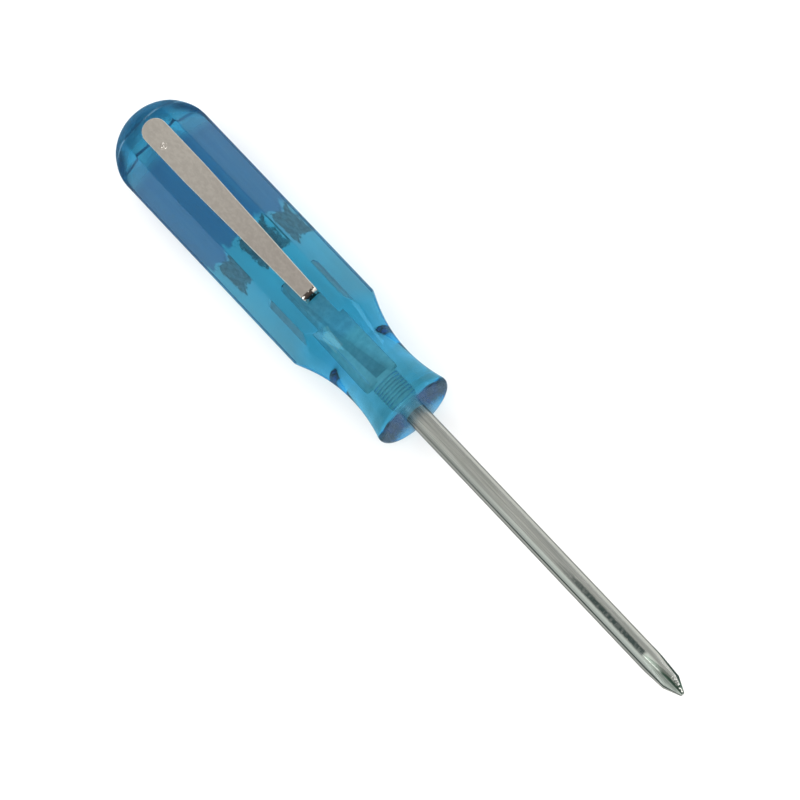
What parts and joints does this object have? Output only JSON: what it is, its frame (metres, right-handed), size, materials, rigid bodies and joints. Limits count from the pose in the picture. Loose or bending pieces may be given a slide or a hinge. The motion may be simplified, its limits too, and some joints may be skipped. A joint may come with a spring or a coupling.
{
  "type": "pocket screwdriver",
  "caption": "Small screwdriver with a hexagonal translucent handle, a fixed round cross-point blade and a spring pocket clip on one facet.",
  "frame": {"origin": "on the blade's axis, in the flat front face of the handle's collar", "axes": "+X runs along the blade to its point, +Z points out of the facet that carries the pocket clip"},
  "size_m": [0.1068, 0.0138, 0.0135],
  "materials": {
    "acetate": "polished translucent blue",
    "blade_steel": "plated, fine lengthwise grain",
    "clip_steel": "satin nickel plate",
    "pin_steel": "bright peened steel"
  },
  "bodies": {
    "driver": {"handle": "acetate", "blade": "blade_steel", "clip_pad": "clip_steel", "clip_pin": "pin_steel"},
    "clip": {"clip_arm": "clip_steel"}
  },
  "joints": [
    {"name": "clip_flex", "type": "hinge", "parent": "driver", "child": "clip", "pos_m": [-0.042, 0.00055, 0.00627], "axis": [0, -1, 0], "range_deg": [0, 5], "stiffness_Nm_per_rad": 1.45, "springref_deg": -1.49}
  ]
}
